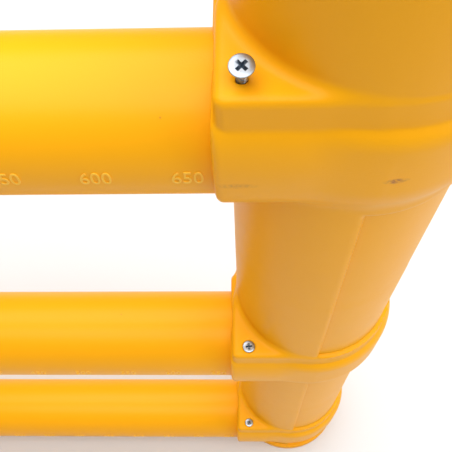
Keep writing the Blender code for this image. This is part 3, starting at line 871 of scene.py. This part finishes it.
class BARRIER_OT_wide_tubes(bpy.types.Operator):
    """Make the wide tubes and the clamps on their mouths"""

    bl_idname = "barrier.wide_tubes"
    bl_label = "Wide Tubes"

    def execute(self, context):
        collar = POST["left"].x + COLLAR_REACH
        for rail, name in enumerate(RAILS):
            low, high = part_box("wide_tube_" + name)
            bore, spigot, step = TUBE_RADIUS + 0.0006, TUBE_RADIUS - 0.005, collar + 0.0003 - low.x
            length = high.x - low.x
            profile = rounded(
                [(spigot, 0), (TUBE_RADIUS, 0), (TUBE_RADIUS, step), (WIDE_RADIUS, step + 0.004),
                 (WIDE_RADIUS, length), (bore, length), (bore, step + 0.008), (spigot, step + 0.004)],
                [0.0005, 0.0005, 0.0004, 0.0022, 0.001, 0.001, 0.002, 0.002], steps=4)
            foot = (low.x, RAIL_Y, RAIL_HEIGHTS[rail])
            tube = object_from("outer_tube_" + name, along_x(turned(profile, 128), foot),
                               finish("tube_polyethylene"))
            carve(tube, [lock_hole(rail)])
            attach(tube, "left_half")
            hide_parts("wide_tube_" + name)
            self.add_clamp(rail, name, high.x, bore)
        return {"FINISHED"}

    def add_clamp(self, rail, name, mouth, bore):
        low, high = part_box("mouth_clamp_" + name)
        length, seat, stop = high.x - low.x, WIDE_RADIUS + 0.0003, mouth + 0.0003 - low.x
        groove = [(CLAMP_RADIUS, 0.006), (CLAMP_RADIUS - 0.0008, 0.007), (CLAMP_RADIUS - 0.0008, 0.0085),
                  (CLAMP_RADIUS, 0.0095)]
        other = [(r, length - z) for r, z in groove[::-1]]
        profile = rounded(
            [(seat, 0), (CLAMP_RADIUS, 0), *groove, *other, (CLAMP_RADIUS, length), (bore, length),
             (bore, stop), (seat, stop)],
            [0.0006, 0.002, *[0.0005] * 8, 0.0025, 0.0012, 0.0004, 0.0004], steps=4)
        foot = (low.x, RAIL_Y, RAIL_HEIGHTS[rail])
        clamp = object_from("tube_clamp_" + name, along_x(turned(profile, 128), foot),
                            finish("post_polyethylene"))
        carve(clamp, [lock_hole(rail)])
        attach(clamp, "left_half")
        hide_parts("mouth_clamp_" + name)


# ---------------------------------------------------------------- screws
def cross_tools(radius):
    """The cross recess, as two tapered bars, to be cut out of a head whose top is at z 0."""
    tools = []
    for turn in (0, 90):
        bm = bmesh.new()
        bar = bmesh.ops.create_cube(bm, size=1)["verts"]
        for v in bar:
            down = v.co.z < 0
            long, wide, z = (0.3, 0.14, -0.0040) if down else (2.3, 0.66, 0.0004)
            v.co = Vector((v.co.x * radius * long, v.co.y * radius * wide, z))
        bmesh.ops.rotate(bm, verts=bar, matrix=Matrix.Rotation(math.radians(turn), 3, "Z"))
        tools.append(object_from("cross_bar", bm))
    return tools


def screw_mesh(name, length, pitch=0.0022):
    """Countersunk screw with a cross recess and a real thread, its head's top at z 0."""
    head, shank, core = HEAD_RADIUS, 0.0030, 0.0023
    around, rows = 24, 5
    neck, cone = -0.0038, -0.0007
    bm = bmesh.new()
    profile = [(0, 0), (head * 0.5, 0), (head * 0.93, 0), (head * 0.985, cone * 0.3), (head, cone),
               (head * 0.985, cone * 1.35), (shank, neck)]
    rings = [ring_at(bm, radius, z, around) for radius, z in profile]
    levels = int((length + neck - shank) / pitch * rows)
    for k in range(1, levels + 1):
        z = neck - (length + neck - shank) * k / levels
        ring = []
        for i in range(around):
            phase = (z / pitch + i / around) % 1
            radius = core + (shank - core) * (1 - min(1, abs(phase - 0.5) * 3.2))
            t = 2 * math.pi * i / around
            ring.append(bm.verts.new((radius * math.cos(t), radius * math.sin(t), z)))
        rings.append(ring)
    rings.append(ring_at(bm, 0, -length, around))
    skin(bm, zip(rings, rings[1:]), around)
    made = object_from(name, bm, finish("screw_zinc"), sharp=35)
    carve(made, cross_tools(head * 0.5), sharp=35)
    return made


def screw_tree(name):
    """A screw on each given point, leaning as the point says and turned a step from the one before it."""
    nodes, given, result = new_group(
        name, "GeometryNodeTree",
        [("Geometry", "NodeSocketGeometry", None), ("Screw", "NodeSocketObject", None),
         ("Last Turn", "NodeSocketFloat", 0.0), ("Turn Step", "NodeSocketFloat", 0.9),
         ("Material", "NodeSocketMaterial", None)],
        [("Geometry", "NodeSocketGeometry")])
    value = given.outputs
    source = nodes.add("GeometryNodeObjectInfo", {"Object": value["Screw"]})
    index = nodes.add("GeometryNodeInputIndex")
    turn = nodes.math("ADD", nodes.math("MULTIPLY", index, value["Turn Step"]), value["Last Turn"])
    spin = nodes.add("FunctionNodeEulerToRotation", {0: nodes.add("ShaderNodeCombineXYZ", {"Z": turn})})
    lean = nodes.add("GeometryNodeInputNamedAttribute", {"Name": "lean"}, data_type="FLOAT_VECTOR")
    aim = nodes.add("FunctionNodeEulerToRotation", {0: lean.outputs["Attribute"]})
    rotation = nodes.add("FunctionNodeRotateRotation", {"Rotation": aim, "Rotate By": spin},
        rotation_space="LOCAL")
    seated = nodes.add("GeometryNodeInstanceOnPoints", {
        "Points": value["Geometry"], "Instance": source.outputs["Geometry"], "Rotation": rotation})
    real = nodes.add("GeometryNodeRealizeInstances", {0: seated})
    nodes.feed(nodes.add("GeometryNodeSetMaterial", {"Geometry": real, "Material": value["Material"]}),
               result.inputs["Geometry"])
    return nodes.tree


def seat_screws(name, seats, screw, body, nodes):
    """One piece of equal screws. The seats come from the top down."""
    mesh = bpy.data.meshes.new(name)
    mesh.from_pydata([tuple(seat.translation) for seat in seats], [], [])
    lean = mesh.attributes.new("lean", "FLOAT_VECTOR", "POINT")
    for point, seat in zip(lean.data, seats):
        point.vector = seat.to_euler()
    made = run_tree(new_object(name, mesh), shared("Seated Screws", screw_tree), {
        "Screw": screw, "Last Turn": math.radians(45), "Turn Step": 0.9, "Material": finish("screw_zinc")})
    made.data.set_sharp_from_angle(angle=math.radians(35))
    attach(made, body)
    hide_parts(*nodes)


class BARRIER_OT_screws(bpy.types.Operator):
    """Make the collar screws and the clamps' lock screws"""

    bl_idname = "barrier.screws"
    bl_label = "Screws"

    def execute(self, context):
        long_screw = screw_mesh("long_screw", SCREW_LENGTH)
        for side in SIDES:
            seat_screws("collar_screws_" + side, SEATS[side][::-1], long_screw, side + "_half",
                        [f"collar_screw_{name}_{side}" for name in RAILS])
        short_screw = screw_mesh("short_screw", LOCK_LENGTH)
        nodes = ["lock_screw_" + name for name in RAILS[::-1]]
        seats = [Matrix.Translation((*middle(name).xy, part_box(name)[1].z)) for name in nodes]
        seat_screws("lock_screws", seats, short_screw, "left_half", nodes)
        for source in (long_screw, short_screw):
            bpy.data.objects.remove(source)
        return {"FINISHED"}


# ---------------------------------------------------------------- pieces inside
class BARRIER_OT_inner_pieces(bpy.types.Operator):
    """Give the steel and black pieces inside their finishes"""

    bl_idname = "barrier.inner_pieces"
    bl_label = "Inner Pieces"

    def execute(self, context):
        steel, black = finish("dull_galvanised"), finish("black_polypropylene_moulding")
        for name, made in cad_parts.items():
            for start, look in (("base_plate", steel), ("core_tube", steel), ("core_spacer", black),
                                ("end_plug", black)):
                if name.startswith(start):
                    made.material_slots[0].material = look
        return {"FINISHED"}


# ---------------------------------------------------------------- stage
def soft_light(name, place, size, power):
    """A round soft light that shines on the right half's middle."""
    lamp = bpy.data.lights.new(name, "AREA")
    lamp.shape, lamp.size, lamp.energy = "DISK", size, power
    made = new_object(name, lamp)
    made.location = place
    made.rotation_euler = (Vector((0.5, 0, 0.6)) - Vector(place)).to_track_quat("-Z", "Y").to_euler()


def add_camera(sizes):
    lens = bpy.data.cameras.new("camera")
    lens.lens, lens.sensor_width = sizes.lens, 36
    lens.shift_x, lens.shift_y = -0.0018, -0.0007
    lens.clip_start = 0.01
    made = new_object("camera", lens)
    place = (POST["right"].x - sizes.camera_left, RAIL_Y - sizes.camera_back,
             RAIL_HEIGHTS[2] + sizes.camera_up)
    turn = Matrix.Rotation(sizes.yaw, 4, "Z") @ Matrix.Rotation(-sizes.pitch, 4, "X")
    turn = turn @ Matrix.Rotation(sizes.roll, 4, "Y") @ Matrix.Rotation(math.radians(90), 4, "X")
    made.matrix_world = Matrix.Translation(place) @ turn
    bpy.context.scene.camera = made


def floor_material():
    made, nodes, shader = new_material("pale_floor")
    place = nodes.add("ShaderNodeTexCoord").outputs["Object"]
    cloud = nodes.add("ShaderNodeTexNoise", {"Vector": place, "Scale": 3.0, "Detail": 2.0})
    tone = nodes.math("MULTIPLY_ADD", cloud.outputs["Fac"], 0.02, 0.72).outputs[0]
    nodes.feed(tinted(nodes, (1.0, 1.0, 1.0), tone), shader.inputs["Base Color"])
    shader.inputs["Roughness"].default_value = 0.9
    return made


class BARRIER_OT_stage(bpy.types.Operator):
    """Make the floor, the lights and the camera"""

    bl_idname = "barrier.stage"
    bl_label = "Stage"

    def execute(self, context):
        sizes = context.scene.barrier_stage
        bm = bmesh.new()
        bmesh.ops.create_grid(bm, x_segments=1, y_segments=1, size=12)
        floor = object_from("floor", bm, floor_material())
        world = bpy.data.worlds.new("studio")
        world.use_nodes = True
        sky = world.node_tree.nodes["Background"]
        sky.inputs["Color"].default_value = (1.0, 1.0, 1.0, 1.0)
        sky.inputs["Strength"].default_value = sizes.fill
        context.scene.world = world
        context.scene.view_settings.view_transform = "Standard"
        soft_light("overhead", (0.68, 0.58, 5.8), 9.0, sizes.overhead)
        soft_light("side", (3.2, -1.2, 1.6), 1.6, sizes.side)
        add_camera(sizes)
        return {"FINISHED"}


# ---------------------------------------------------------------- add-on
GROUPS = {
    "barrier_post": PostSizes,
    "barrier_scale": ScaleSizes,
    "barrier_finishes": Finishes,
    "barrier_stage": StageSizes,
}
OPERATORS = (
    BARRIER_OT_stage,
    BARRIER_OT_posts,
    BARRIER_OT_scale_tubes,
    BARRIER_OT_wide_tubes,
    BARRIER_OT_screws,
    BARRIER_OT_inner_pieces,
)


class BARRIER_PT_panel(bpy.types.Panel):
    """The barrier's pieces, in the 3D view's sidebar"""

    bl_label = "Extendable Barrier"
    bl_space_type = "VIEW_3D"
    bl_region_type = "UI"
    bl_category = "Barrier"

    def draw(self, context):
        for operator in OPERATORS:
            self.layout.operator(operator.bl_idname)
        for name in GROUPS:
            group = getattr(context.scene, name)
            box = self.layout.box()
            for key in group.bl_rna.properties.keys():
                if key not in ("rna_type", "name"):
                    box.prop(group, key)


def register():
    for kind in (*GROUPS.values(), *OPERATORS, BARRIER_PT_panel):
        bpy.utils.register_class(kind)
    for name, group in GROUPS.items():
        setattr(bpy.types.Scene, name, PointerProperty(type=group))


def unregister():
    for name in GROUPS:
        delattr(bpy.types.Scene, name)
    for kind in (BARRIER_PT_panel, *OPERATORS[::-1], *list(GROUPS.values())[::-1]):
        bpy.utils.unregister_class(kind)


def main():
    register()
    for operator in OPERATORS:
        group, name = operator.bl_idname.split(".")
        getattr(getattr(bpy.ops, group), name)()


if __name__ == "__main__":
    main()
